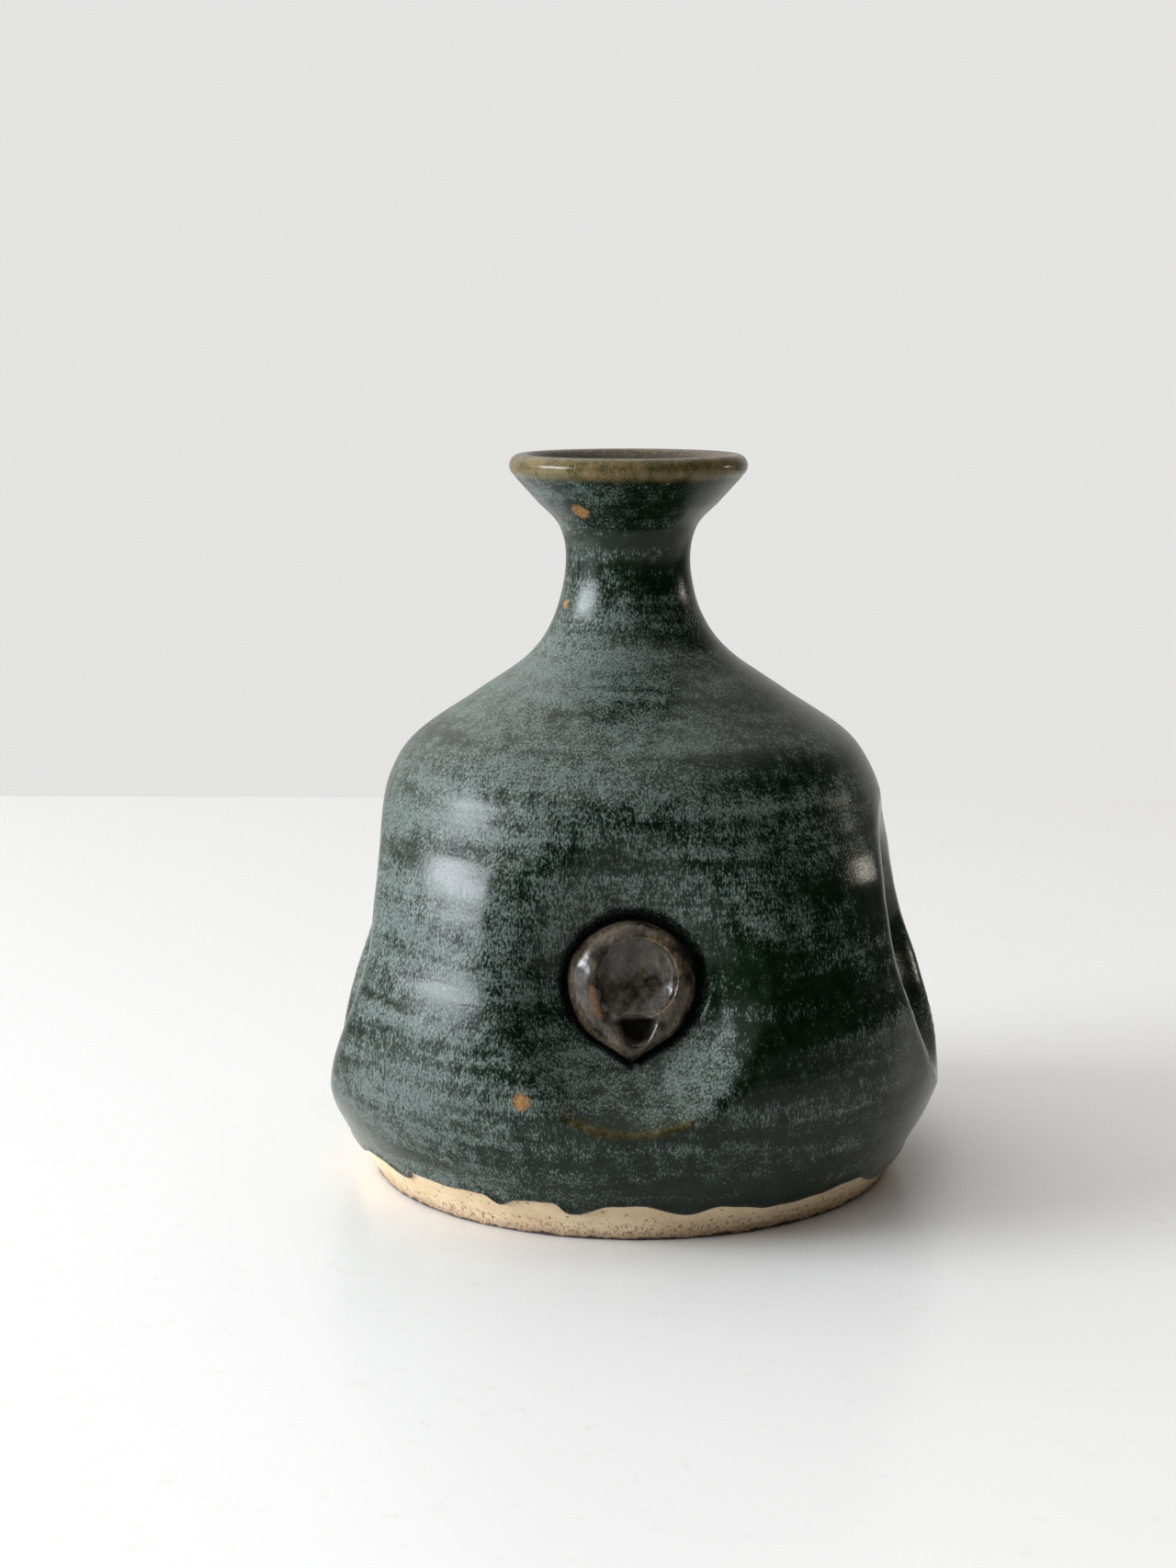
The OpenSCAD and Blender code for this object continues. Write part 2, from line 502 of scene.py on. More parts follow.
def groove_profile(angle, grow, bowl, depth):
    """How far the wall round a button is out of its seat: a groove, its rise to the bowl and a low welt."""
    floor = -depth + 0.3 * np.maximum(bowl - 1.5, 0)
    width = groove_width(angle)
    rise = smoothstep((grow - 0.35 * width - 0.9 * depth) / (0.85 * width))
    welt = 0.4 * bump((grow - 1.2 * width - 0.9) / 1.4) * bump(wrapped(angle + 0.15) / 0.45)
    return np.where(grow < 0, -depth, floor + (bowl - floor) * rise) + welt


def solve_out(dimple, v, w, depth):
    """How far the pressed wall is out of a button's seat."""
    return solve(
        lambda m: (*np.moveaxis(dimple.world(v, w, m), -1, 0), depth),
        np.full(v.shape, -20.0),
        np.full(v.shape, 30.0),
    )


CREASE_WIDTH = 0.62
CREASE_TOP = 24.5


def crease_at(x, y, z, depth):
    """How thin the glaze has run on the sharp lower edges of the dimples."""
    thrown = outside_thrown(x, y, z, depth)
    near = []
    for dimple in DIMPLES:
        away = thrown**2 + dimple.outside_bowl(x, y, z, depth) ** 2
        near.append(np.exp(-(away / CREASE_WIDTH**2)) / dimple.soft[0])
    return 1.6 * np.max(near, axis=0) * (1 - smoothstep((z - CREASE_TOP) / 4.5))


# The columns of the visible wall, and how far the glaze runs thin down from the crest of the lip
WALL_COLUMNS = 400
LIP_BAND = 6.4


def pressed_grid(shell, lengths, depths, columns, marks=True):
    """Rows of wall from one length along the section to another, with a patch round every button."""
    r, z = OUTSIDE.at(lengths, depths)
    angle = np.broadcast_to(angles(columns), r.shape)
    layer = float(depths[-1, 0])
    r = pressed(angle, r, z, layer)
    points = ring_points(angle, r, z)
    crease = crease_at(points[..., 0], points[..., 1], z, layer) * (z < 60)
    on_lip = smoothstep((lengths - OUTSIDE.length + LIP_BAND) / 1.6)
    ids = shell.add(points, thin=np.maximum(crease, on_lip) if marks else 0.0)
    half = int(round(HOLE_SHARE * columns))
    keep = np.ones((len(ids) - 1, columns), bool)
    for dimple in DIMPLES:
        first, last = hole_rows(z[:, 0], dimple)
        middle = int(round(dimple.turn / (2 * math.pi) * columns))
        cols = np.arange(middle - half, middle + half + 1) % columns
        keep[first:last, cols[:-1]] = False
        rows = np.arange(first, last + 1)
        loop = [(first, col) for col in cols[:-1]] + [(row, cols[-1]) for row in rows[:-1]]
        loop += [(last, col) for col in cols[:0:-1]] + [(row, cols[0]) for row in rows[:0:-1]]
        at = tuple(np.array(loop).T)
        seat_patch(shell, dimple, ids[at], points[at], layer)
    shell.quads(ids, keep)
    return ids


def coat_back_rows():
    """Where the rows lie on the face between the outer glaze and the clay."""
    return spread_rows([(10, 3.2), (20, 2.2), (32, 3.0), (100, 2.4), (134, 1.2), (HEIGHT, 0)])


# ------------------------------------------------------------------ the glaze coat
# Where the glaze has run lower: [angle, reach to the left, reach to the right, drop], degrees and millimetres
RUNS = [
    [-49, 9, 2.0, 2.0],
    [-26, 3.0, 4.0, 1.9],
    [-12, 2.6, 9, 2.6],
    [10, 7, 8, 1.5],
    [31, 14, 16, 1.3],
    [60, 9, 14, 2.0],
    [88, 8, 3, 2.2],
    [118, 4, 12, 1.5],
    [150, 12, 3, 2.4],
    [176, 3, 10, 1.4],
    [205, 9, 4, 2.1],
    [238, 14, 12, 1.2],
    [268, 3, 8, 2.3],
    [291, 8, 3, 1.3],
]


def glaze_edge(angle):
    """The height of the lower edge of the glaze."""
    degrees = np.degrees(angle)
    height = GLAZE_LINE + 0.3 + 1.8 * np.cos(angle + math.radians(45))
    for centre, left, right, drop in RUNS:
        off = (degrees - centre + 180) % 360 - 180
        reach = np.where(off < 0, left, right)
        height = height - drop * bump(off / reach)
    return height + 0.16 * np.sin(23 * angle + 1) + 0.1 * np.sin(51 * angle) + 0.3 * np.sin(7 * angle + 2)


def stacked_rows(first_rows, rows, columns):
    """Rows that differ round the vase, then even ones, then the crest of the lip."""
    even = np.repeat(rows[:, None], columns, 1)
    return np.vstack([first_rows, even, np.full((1, columns), OUTSIDE.length)])


def outer_glaze(material):
    shell = Shell()
    edge = OUTSIDE.length_at(glaze_edge(angles(WALL_COLUMNS)))
    level = OUTSIDE.length_at(GLAZE_LINE)
    # Rows near the uneven edge follow it, and are level again where they have settled
    settled = 7.0
    near = np.array([0, 0.06, 0.16, 0.3, 0.5, 0.75, 1.05, 1.4, 1.8, 2.3, 2.9, 3.6, 4.4, 5.3, 6.2])
    low = edge + near[:, None] + (level - edge) * smoothstep(near / settled)[:, None]
    far = spread_rows([(13, 1.0), (18, 0.72), (30, 0.95), (64, 1.0), (120, 0.7), (134, 0.42), (HEIGHT, 0)])
    # The edge is rolled over, and the glaze is swollen just above it
    roll = 0.75
    rim = np.sqrt(1 - (1 - np.minimum(near / roll, 1)) ** 2)
    swell = 0.25 * np.exp(-(((near - 1.0) / 0.8) ** 2)) * np.minimum(near / 0.3, 1)
    depths = np.concatenate([GLAZE * 1.04 * (1 - rim) - swell, np.zeros(len(far) + 1)])[:, None]
    outside = pressed_grid(shell, stacked_rows(low, far, WALL_COLUMNS), depths, WALL_COLUMNS)
    back_columns = WALL_COLUMNS // 4
    back = stacked_rows(edge[::4] + 0.35, coat_back_rows(), back_columns)
    inside = pressed_grid(shell, back, np.full((len(back), 1), GLAZE), back_columns, marks=False)
    shell.strip(outside[0], inside[0])
    shell.strip(outside[-1], inside[-1])
    return shell.build("outer_glaze_coat", material, "outer_glaze")


# ------------------------------------------------------------------ the inside of the pot
def inner_line(depth, floor):
    """The half section inside: from the crest of the lip down the throat to the middle of the floor."""
    height = OUTSIDE.p[:, 1]
    wall = OUTSIDE.sunk(depth)[(height < 0.962 * HEIGHT) & (height > 15)][::-8]
    bead = arc(BEAD, BEAD_R, 90, 128, 7)
    corner = 5.0
    foot_r = wall[-1][0]
    turn = arc(np.array([foot_r - corner, floor + corner]), corner, 0, -90, 8)
    return Line(np.vstack([bead, wall[2:], turn, [[20, floor], [0.3, floor]]]))


def hollow_rows(shell, line, rows, columns, depth, thin=0.0, drop=0.0):
    """Rings of the inside wall at lengths along its section. drop lowers the first one, on the lip."""
    r, z = line.at(rows)
    angle = np.broadcast_to(angles(columns), (len(rows), columns))
    r = np.repeat(r[:, None], columns, 1)
    z = np.repeat(z[:, None], columns, 1)
    points = ring_points(angle, pressed(angle, r, z, depth), z)
    points[0] -= [0, 0, drop]
    return shell.add(points, thin=thin)


def liner_glaze(material):
    shell = Shell()
    face_line = inner_line(LINER_IN, FLOOR_H + GLAZE)
    back_line = inner_line(CLAY_IN, FLOOR_H)
    rows = np.concatenate([np.arange(0, 30, 0.6), np.arange(30, face_line.length, 2.2)])
    rows[-1] = face_line.length
    lip = (1 - smoothstep((rows - 1.2) / 2.4))[:, None]
    face = hollow_rows(shell, face_line, rows, 128, LINER_IN, thin=lip)
    back_rows = np.linspace(0, back_line.length, 90)
    back = hollow_rows(shell, back_line, back_rows, 64, CLAY_IN, drop=GLAZE)
    shell.quads(face)
    shell.quads(back)
    shell.strip(face[0], back[0])
    shell.fan(face[-1], [0, 0, FLOOR_H + GLAZE])
    shell.fan(back[-1], [0, 0, FLOOR_H])
    return shell.build("liner_glaze_coat", material, "liner_glaze")


# ------------------------------------------------------------------ the clay body
# The height at which the clay's upright wall starts, above the chipped edge of the foot
CLAY_FROM = 0.5


def foot_edge(angle):
    """Small chips and unevenness along the foot's lower edge."""
    return 0.12 * np.sin(17 * angle) + 0.1 * np.sin(29 * angle + 2) + 0.1 * np.sin(43 * angle + 1)


def underside(shell):
    """The foot's chipped lower edge, the ring it stands on and the turned recess inside it."""
    angle = angles(WALL_COLUMNS)

    def foot_ring(radius, height):
        even = np.zeros(WALL_COLUMNS)
        return shell.add(ring_points(angle, radius + even, height + even))

    wall_r, _ = OUTSIDE.at(OUTSIDE.length_at(CLAY_FROM), GLAZE)
    chips = foot_edge(angle)
    recess_r = FOOT_R - FOOT_RING
    under = [
        foot_ring(wall_r - 0.12 + 0.5 * chips, 0.24 + 0.2 * chips),
        foot_ring(wall_r - 0.45 + chips, 0.06),
        foot_ring(wall_r - 0.9 + chips, 0.0),
        foot_ring(recess_r + 1.2, 0.0),
        foot_ring(recess_r + 0.5, 0.0),
        foot_ring(recess_r + 0.1, 0.15),
        foot_ring(recess_r - 0.2, 0.6),
        foot_ring(recess_r - 0.5, 1.2),
        foot_ring(recess_r - 1.0, FOOT_RECESS),
    ]
    turning = 2.4
    for radius in np.arange(recess_r - 1.8, 3, -0.6):
        cut = 0.09 * np.sin(2 * math.pi * radius / turning + angle) + 0.03 * np.sin(9 * radius)
        under.append(foot_ring(radius, FOOT_RECESS + cut))
    return np.stack(under)


def stoneware_body(material):
    shell = Shell()
    low = np.array([CLAY_FROM, 0.7, 0.95, 1.3, 1.7, 2.2, 2.8, 3.4, 4.1, 4.8, 5.6, 6.4, 7.4, 8.6])
    low = np.repeat(OUTSIDE.length_at(low)[:, None], WALL_COLUMNS, 1)
    lengths = stacked_rows(low, coat_back_rows(), WALL_COLUMNS)
    outside = pressed_grid(shell, lengths, np.full((len(lengths), 1), GLAZE), WALL_COLUMNS, marks=False)
    under = underside(shell)
    shell.quads(np.vstack([outside[:1], under]))
    shell.fan(under[-1], [0, 0, FOOT_RECESS])
    line = inner_line(CLAY_IN, FLOOR_H)
    inside = hollow_rows(shell, line, np.linspace(0, line.length, 90), 100, CLAY_IN, drop=GLAZE)
    shell.quads(inside)
    shell.strip(outside[-1], inside[0])
    shell.fan(inside[-1], [0, 0, FLOOR_H])
    return shell.build("stoneware_clay", material, "stoneware_body")


# ------------------------------------------------------------------ the buttons
BUTTON_COLUMNS = 144
# The rim is rounded over this width, and it is wider and drops further on the left
EDGE_ROUND = 2.0
LEFT_ROUND = 5.6
LEFT_DROP = 1.5
# The thumb's hollow, and the torn notch below it: [across, up] from the button's middle
HOLLOW_MIDDLE = (1.05, 1.2)
HOLLOW_R = 7.1
HOLLOW_DEPTH = 2.5
NOTCH_MIDDLE = (1.0, -7.9)
NOTCH_WIDE = 4.4
NOTCH_TALL = 2.5
NOTCH_DEPTH = 2.1


def button_outline(dimple, angle):
    """A button's slightly uneven outline from its middle."""
    seed = dimple.seed
    uneven = 0.010 * np.sin(3 * angle + seed) + 0.008 * np.sin(5 * angle + 2 * seed)
    return drop_radius(angle) * (1 + uneven)


def notch_reach(x, y):
    """0 in the middle of a button's notch, 1 at its edge. The notch is a fan, wide above and narrow below."""
    across, up = (x - NOTCH_MIDDLE[0]) / NOTCH_WIDE, (y - NOTCH_MIDDLE[1]) / NOTCH_TALL
    fan = 1 - 0.30 * np.clip(1 - up, 0, 2)
    return ((across / fan) ** 4 + up**4) ** 0.25


def button_face(dimple, x, y, edge):
    """The height of a button's face above its seat. edge is the distance in from the button's outline."""
    seed = dimple.seed
    hx, hy = x - HOLLOW_MIDDLE[0], y - HOLLOW_MIDDLE[1]
    reach = np.hypot(hx, hy * 0.98) / HOLLOW_R
    side = np.arctan2(hy, hx)
    crisp = 0.5 + 0.5 * np.cos(side + 0.2)
    hollow = HOLLOW_DEPTH * np.clip(1 - reach**2, 0, 1) ** (1.1 - 0.5 * crisp)
    ridge = 0.38 * crisp * np.exp(-(((reach - 1.03) / 0.09) ** 2))
    slope = 0.7 * smoothstep((hx - 6.8) / 3.5)
    notch = NOTCH_DEPTH * smoothstep(1.9 - 1.8 * notch_reach(x, y))
    left = 1.0 * np.exp(-(((x + 6.9) / 2.2) ** 2 + ((y - 1.5) / 6.5) ** 2))
    dents = 0.10 * np.sin(0.8 * x + seed) * np.cos(0.9 * y - seed) + 0.04 * np.sin(2.0 * x - 1.5 * y + seed)
    dents += 0.025 * np.sin(3.1 * x + 2.2 * y - seed) * np.sin(1.7 * y + seed)
    leftness = smoothstep(-x / 9)
    width = EDGE_ROUND + (LEFT_ROUND - EDGE_ROUND) * leftness
    drop = EDGE_ROUND + LEFT_DROP * leftness
    rounding = drop * (1 - np.sqrt(1 - np.clip(1 - edge / width, 0, 1) ** 2))
    return BUTTON_T - hollow + ridge - slope - notch + left + dents - rounding


def button_skin(shell, dimple, coat, base):
    """The face and side of a button, grown by the thickness of its coat. Gives back the lowest ring."""
    angle = -math.pi / 2 + angles(BUTTON_COLUMNS)
    outline = button_outline(dimple, angle)
    share = np.linspace(0.02, 1, 44)[:, None] ** 0.9
    radius = outline * share
    edge = outline - radius
    x, y = radius * np.cos(angle), radius * np.sin(angle)
    height = button_face(dimple, x, y, edge)
    grown = 1 + coat / BUTTON_R * smoothstep((share - 0.6) / 0.4)
    level = height[-1]
    hollow = np.hypot(x - HOLLOW_MIDDLE[0], y - HOLLOW_MIDDLE[1]) / HOLLOW_R
    worn_rim = 0.4 * np.exp(-(((edge - 0.9) / 0.8) ** 2))
    worn_ridge = 0.7 * np.exp(-(((hollow - 1.04) / 0.08) ** 2)) * (x > 0)
    worn = np.clip(worn_rim + worn_ridge, 0, 1)
    # Painted shade: the notch is made near black
    notch_shade = smoothstep(2.1 - 1.9 * notch_reach(x, y))
    points = dimple.world(x * grown, y * grown, height + coat - GLAZE)
    face = shell.add(points, thin=worn, pool=notch_shade)
    sides = []
    for high in (0.85, 0.65, 0.45, 0.25, 0.1, 0.0):
        bulged = outline * (1 + coat / BUTTON_R + 0.012 * math.sin(math.pi * high))
        out = base - GLAZE + (level + coat - base) * high
        points = dimple.world(bulged * np.cos(angle), bulged * np.sin(angle), out)
        # Painted shade: the side grows darker towards its foot, in the groove
        sides.append(shell.add(points, thin=0.25 * high, pool=1 - high))
    shell.quads(np.vstack([face, np.stack(sides)]))
    middle_height = button_face(dimple, np.zeros(1), np.zeros(1), outline[:1])
    shell.fan(face[0], dimple.world([0], [0], middle_height + coat - GLAZE)[0])
    return sides[-1]


def button_clay(dimple, material):
    shell = Shell()
    lowest = button_skin(shell, dimple, 0.0, 0.0)
    shell.fan(lowest, dimple.seat - GLAZE * dimple.out)
    return shell.build(dimple.side + "_button_clay", material, dimple.side + "_button")


def button_coat(dimple, material):
    shell = Shell()
    outer = button_skin(shell, dimple, GLAZE, GLAZE)
    inner = button_skin(shell, dimple, 0.0, GLAZE)
    shell.quads(np.stack([outer, inner]))
    name = dimple.side + "_button"
    return shell.build(name + "_coat", material, name + "_glaze")


# ------------------------------------------------------------------ materials
class Paint:
    """A short way to write a material's nodes."""

    def __init__(self, name):
        self.material = bpy.data.materials.new(name)
        self.material.use_nodes = True
        self.tree = self.material.node_tree
        self.shader = self.tree.nodes["Principled BSDF"]
        self.where = self.tree.nodes.new("ShaderNodeTexCoord").outputs["Object"]

    def link(self, value, socket):
        """Sets a number or a colour on a socket, or joins another node's output to it."""
        if isinstance(value, (int, float)):
            socket.default_value = value
        elif isinstance(value, tuple):
            socket.default_value = (*value, 1.0) if len(socket.default_value) == 4 else value
        else:
            self.tree.links.new(value, socket)

    def noise(self, x, y, z, detail=2.0, roughness=0.5, shift=(0.0, 0.0, 0.0)):
        """Cloudy noise from 0 to 1 with cells of the given sizes in millimetres."""
        place = self.tree.nodes.new("ShaderNodeMapping")
        self.link(self.where, place.inputs["Vector"])
        place.inputs["Scale"].default_value = (1 / (x * MM), 1 / (y * MM), 1 / (z * MM))
        place.inputs["Location"].default_value = shift
        texture = self.tree.nodes.new("ShaderNodeTexNoise")
        self.link(place.outputs["Vector"], texture.inputs["Vector"])
        texture.inputs["Scale"].default_value = 1.0
        texture.inputs["Detail"].default_value = detail
        texture.inputs["Roughness"].default_value = roughness
        return texture.outputs["Fac"]

    def maths(self, kind, a, b):
        node = self.tree.nodes.new("ShaderNodeMath")
        node.operation = kind
        self.link(a, node.inputs[0])
        self.link(b, node.inputs[1])
        return node.outputs[0]

    def times(self, a, b):
        return self.maths("MULTIPLY", a, b)

    def total(self, first, *others):
        for other in others:
            first = self.maths("ADD", first, other)
        return first

    def span(self, value, low, high, to_low=0.0, to_high=1.0):
        """Maps low..high smoothly to to_low..to_high."""
        node = self.tree.nodes.new("ShaderNodeMapRange")
        node.interpolation_type = "SMOOTHSTEP"
        for value_in, socket in zip((value, low, high, to_low, to_high), node.inputs):
            self.link(value_in, socket)
        return node.outputs["Result"]

    def mix(self, share, a, b):
        """Colour a where the share is 0, colour b where it is 1."""
        node = self.tree.nodes.new("ShaderNodeMix")
        node.data_type = "RGBA"
        share_in, a_in, b_in, colour_out = node.inputs[0], node.inputs[6], node.inputs[7], node.outputs[2]
        self.link(share, share_in)
        self.link(a, a_in)
        self.link(b, b_in)
        return colour_out

    def mark(self, name):
        """One of the numbers that the mesh carries at its points."""
        node = self.tree.nodes.new("ShaderNodeAttribute")
        node.attribute_name = name
        return node.outputs["Fac"]

    def place(self, axis):
        """The position along one axis of the vase, in metres."""
        node = self.tree.nodes.new("ShaderNodeSeparateXYZ")
        self.link(self.where, node.inputs[0])
        return node.outputs[axis]

    def near(self, point, radius, ragged):
        """1 inside a spot round a point, 0 outside, with a ragged edge."""
        node = self.tree.nodes.new("ShaderNodeVectorMath")
        node.operation = "DISTANCE"
        self.link(self.where, node.inputs[0])
        node.inputs[1].default_value = tuple(float(c) * MM for c in point)
        away = self.total(node.outputs["Value"], self.times(ragged, radius * 0.9 * MM))
        return self.span(away, radius * 1.15 * MM, radius * 1.75 * MM, 1.0, 0.0)

    def relief(self, height, distance, strength, under=None):
        """Fine bumps up to a distance in millimetres, on top of other bumps."""
        node = self.tree.nodes.new("ShaderNodeBump")
        node.inputs["Strength"].default_value = strength
        node.inputs["Distance"].default_value = distance * MM
        self.link(height, node.inputs["Height"])
        if under is not None:
            self.link(under, node.inputs["Normal"])
        return node.outputs["Normal"]

    def finish(self, colour, roughness, normal, **constants):
        """Joins the shader up and gives back the material."""
        self.link(colour, self.shader.inputs["Base Color"])
        self.link(roughness, self.shader.inputs["Roughness"])
        self.link(normal, self.shader.inputs["Normal"])
        for name, value in constants.items():
            self.shader.inputs[name.replace("_", " ")].default_value = value
        return self.material


def surface_point(degrees, height):
    """A point on the glazed wall."""
    angle = np.array([[math.radians(degrees)]])
    z = np.array([[float(height)]])
    r, _ = OUTSIDE.at(OUTSIDE.length_at(z))
    r = pressed(angle, r, z, 0.0)
    return warp(ring_points(angle, r, z).reshape(-1, 3))[0]


# Spots in the green glaze, bare tan ones and dark ones: [degrees, height, radius]
TAN_SPOTS = [
    [-33, 129.8, 1.7],
    [-18, 28.8, 1.5],
    [-63, 111.5, 0.9],
    [128, 121, 1.2],
    [171, 62, 1.3],
    [206, 27, 1.4],
    [262, 84, 1.0],
]
DARK_SPOTS = [[-36, 130.6, 2.4], [-40, 134.3, 1.2], [14, 125.5, 1.0], [140, 131, 1.4], [230, 92, 1.2]]
# A crescent of paler glaze below the front button, a little to its right
CRESCENT = (13, 33)
CRESCENT_R = 7.5


def pale_glaze_and_side_light(paint, blotches):
    """How much pale glaze lies on the dark: in blotches and bands, more of it on the left and on the
    shoulder, and less on the right. The left and shoulder gain is partly the glaze's own and partly painted
    light from the window side; the loss on the right is partly painted shade.
    """
    bands = paint.noise(42.0, 42.0, 3.6, detail=3.0, roughness=0.6, shift=(1.7, 4.4, 2.1))
    clouds = paint.noise(30.0, 30.0, 24.0, detail=1.0, shift=(8.8, 2.9, 6.1))
    settled = paint.noise(4.0, 4.0, 4.0, detail=2.0)
    height = paint.place("Z")
    above_flank, below_neck = paint.span(height, 0.060, 0.082), paint.span(height, 0.098, 0.112, 1.0, 0.55)
    return paint.total(
        paint.times(blotches, 0.60),
        paint.times(bands, 0.76),
        paint.times(clouds, 0.36),
        # Partly painted light: more pale glaze on the shoulder and on the left, where the light falls, and
        # less on the right, partly painted shade
        paint.times(paint.times(above_flank, below_neck), 0.07),
        paint.span(paint.place("X"), -0.030, 0.045, 0.085, -0.10),
        paint.span(height, 0.105, 0.122, 0.0, -0.12),
        paint.span(height, 0.012, 0.030, -0.08, 0.0),
        paint.times(paint.near(surface_point(*CRESCENT), CRESCENT_R, settled), 0.16),
    )


def green_glaze():
    paint = Paint("green_glaze_paint")
    streaks = paint.noise(0.42, 0.42, 1.25, detail=3.0, roughness=0.70)
    grains = paint.noise(0.30, 0.30, 0.55, detail=1.0, shift=(3.1, 7.7, 1.3))
    blotches = paint.noise(3.0, 3.0, 4.2, detail=3.0, roughness=0.62, shift=(5.2, 1.1, 9.4))
    ragged = paint.noise(0.9, 0.9, 0.9, detail=2.0)
    rings = paint.noise(50.0, 50.0, 2.2, detail=2.0, roughness=0.5, shift=(2.0, 2.0, 5.0))
    thin = paint.mark("thin")
    pool = paint.mark("pool")

    fleck = paint.total(paint.times(streaks, 0.80), paint.times(grains, 0.30))
    cut = paint.total(fleck, paint.times(pale_glaze_and_side_light(paint, blotches), 0.72))
    pale = paint.span(cut, 1.10, 1.39)
    deep = paint.mix(paint.span(blotches, 0.35, 0.7), (0.0022, 0.0078, 0.0024), (0.0064, 0.0170, 0.0064))
    light = paint.mix(paint.span(grains, 0.3, 0.7), (0.052, 0.076, 0.067), (0.182, 0.222, 0.206))
    colour = paint.mix(paint.times(pale, 0.92), deep, light)

    olive = paint.mix(paint.span(blotches, 0.35, 0.65), (0.060, 0.050, 0.014), (0.150, 0.110, 0.045))
    olive = paint.mix(paint.span(streaks, 0.45, 0.70, 0.0, 0.55), olive, (0.235, 0.175, 0.085))
    broken = paint.times(thin, paint.span(streaks, 0.2, 0.5, 0.75, 1.0))
    colour = paint.mix(broken, colour, olive)
    # Near black round each button: glaze pooled in the groove, and painted shade there
    colour = paint.mix(paint.times(pool, 0.93), colour, (0.004, 0.005, 0.004))

    for degrees, height, radius in DARK_SPOTS:
        spot = paint.near(surface_point(degrees, height), radius, ragged)
        colour = paint.mix(paint.times(spot, 0.9), colour, (0.005, 0.008, 0.006))
    tan = paint.mix(paint.span(grains, 0.3, 0.7), (0.20, 0.090, 0.025), (0.36, 0.20, 0.075))
    for degrees, height, radius in TAN_SPOTS:
        spot = paint.near(surface_point(degrees, height), radius, ragged)
        colour = paint.mix(spot, colour, tan)

    smooth_where_thin = paint.span(thin, 0.2, 0.8, 1.0, 0.6)
    roughness = paint.times(paint.span(pale, 0.0, 1.0, 0.17, 0.36), smooth_where_thin)
    normal = paint.relief(rings, 0.045, 0.7)
    normal = paint.relief(cut, 0.05, 0.8, under=normal)
    return paint.finish(colour, roughness, normal, IOR=1.5, Specular_IOR_Level=0.25)


# A rusty streak on the front button, left of its hollow: [across, up, radius]
RUST_SPOTS = [
    [-7.1, -0.5, 0.6],
    [-7.0, -1.5, 0.8],
    [-6.8, -2.5, 0.85],
    [-6.5, -3.5, 0.85],
    [-6.2, -4.5, 0.8],
    [-5.8, -5.5, 0.6],
]


def button_glaze():
    paint = Paint("button_glaze_paint")
    streaks = paint.noise(0.5, 0.5, 1.5, detail=2.0, roughness=0.6, shift=(4.0, 2.0, 1.0))
    clouds = paint.noise(3.2, 3.2, 4.0, detail=3.0, roughness=0.6, shift=(7.0, 3.0, 8.0))
    thin = paint.mark("thin")
    pool = paint.mark("pool")
    fleck = paint.total(paint.times(streaks, 0.7), paint.times(clouds, 0.3))
    colour = paint.mix(paint.span(clouds, 0.35, 0.65), (0.012, 0.009, 0.006), (0.062, 0.052, 0.038))
    colour = paint.mix(paint.span(fleck, 0.50, 0.68, 0.0, 0.4), colour, (0.17, 0.165, 0.15))
    tan = paint.mix(paint.span(streaks, 0.35, 0.65), (0.070, 0.040, 0.012), (0.19, 0.125, 0.055))
    worn = paint.times(thin, paint.span(clouds, 0.38, 0.58))
    colour = paint.mix(paint.times(worn, 0.8), colour, tan)
    front = DIMPLES[0]
    for across, up, radius in RUST_SPOTS:
        x, y = np.array([across]), np.array([up])
        edge = button_outline(front, np.arctan2(y, x)) - np.hypot(x, y)
        middle = warp(front.world(x, y, button_face(front, x, y, edge)))[0]
        spot = paint.near(middle, radius, streaks)
        colour = paint.mix(paint.times(spot, 0.27), colour, (0.27, 0.115, 0.035))
    # Painted shade: near black in the notch and towards the foot of the button's side, in its groove
    colour = paint.mix(paint.times(pool, 0.95), colour, (0.003, 0.003, 0.002))
    # The notch and the foot of the sides are painted shade: dull as well as dark, so they show no reflection
    paint.link(paint.span(pool, 0.0, 0.8, 0.42, 0.04), paint.shader.inputs["Specular IOR Level"])
    roughness = paint.total(paint.span(fleck, 0.4, 0.7, 0.20, 0.30), paint.times(pool, 0.45))
    return paint.finish(colour, roughness, paint.relief(fleck, 0.02, 0.8), IOR=1.52)


def liner_glaze_paint():
    paint = Paint("liner_glaze_paint")
    streaks = paint.noise(0.7, 0.7, 2.2, detail=2.0, roughness=0.6, shift=(9.0, 4.0, 3.0))
    clouds = paint.noise(6.0, 6.0, 6.0, detail=3.0, shift=(1.0, 8.0, 5.0))
    thin = paint.mark("thin")
    colour = paint.mix(paint.span(clouds, 0.35, 0.65), (0.010, 0.006, 0.003), (0.026, 0.016, 0.007))
    colour = paint.mix(paint.span(streaks, 0.52, 0.70, 0.0, 0.4), colour, (0.075, 0.075, 0.058))
    olive = paint.mix(paint.span(streaks, 0.35, 0.65), (0.050, 0.030, 0.010), (0.15, 0.11, 0.045))
    colour = paint.mix(paint.times(thin, 0.6), colour, olive)
    roughness = paint.span(clouds, 0.3, 0.7, 0.12, 0.22)
    return paint.finish(colour, roughness, paint.relief(streaks, 0.03, 0.6), IOR=1.52, Specular_IOR_Level=0.3)


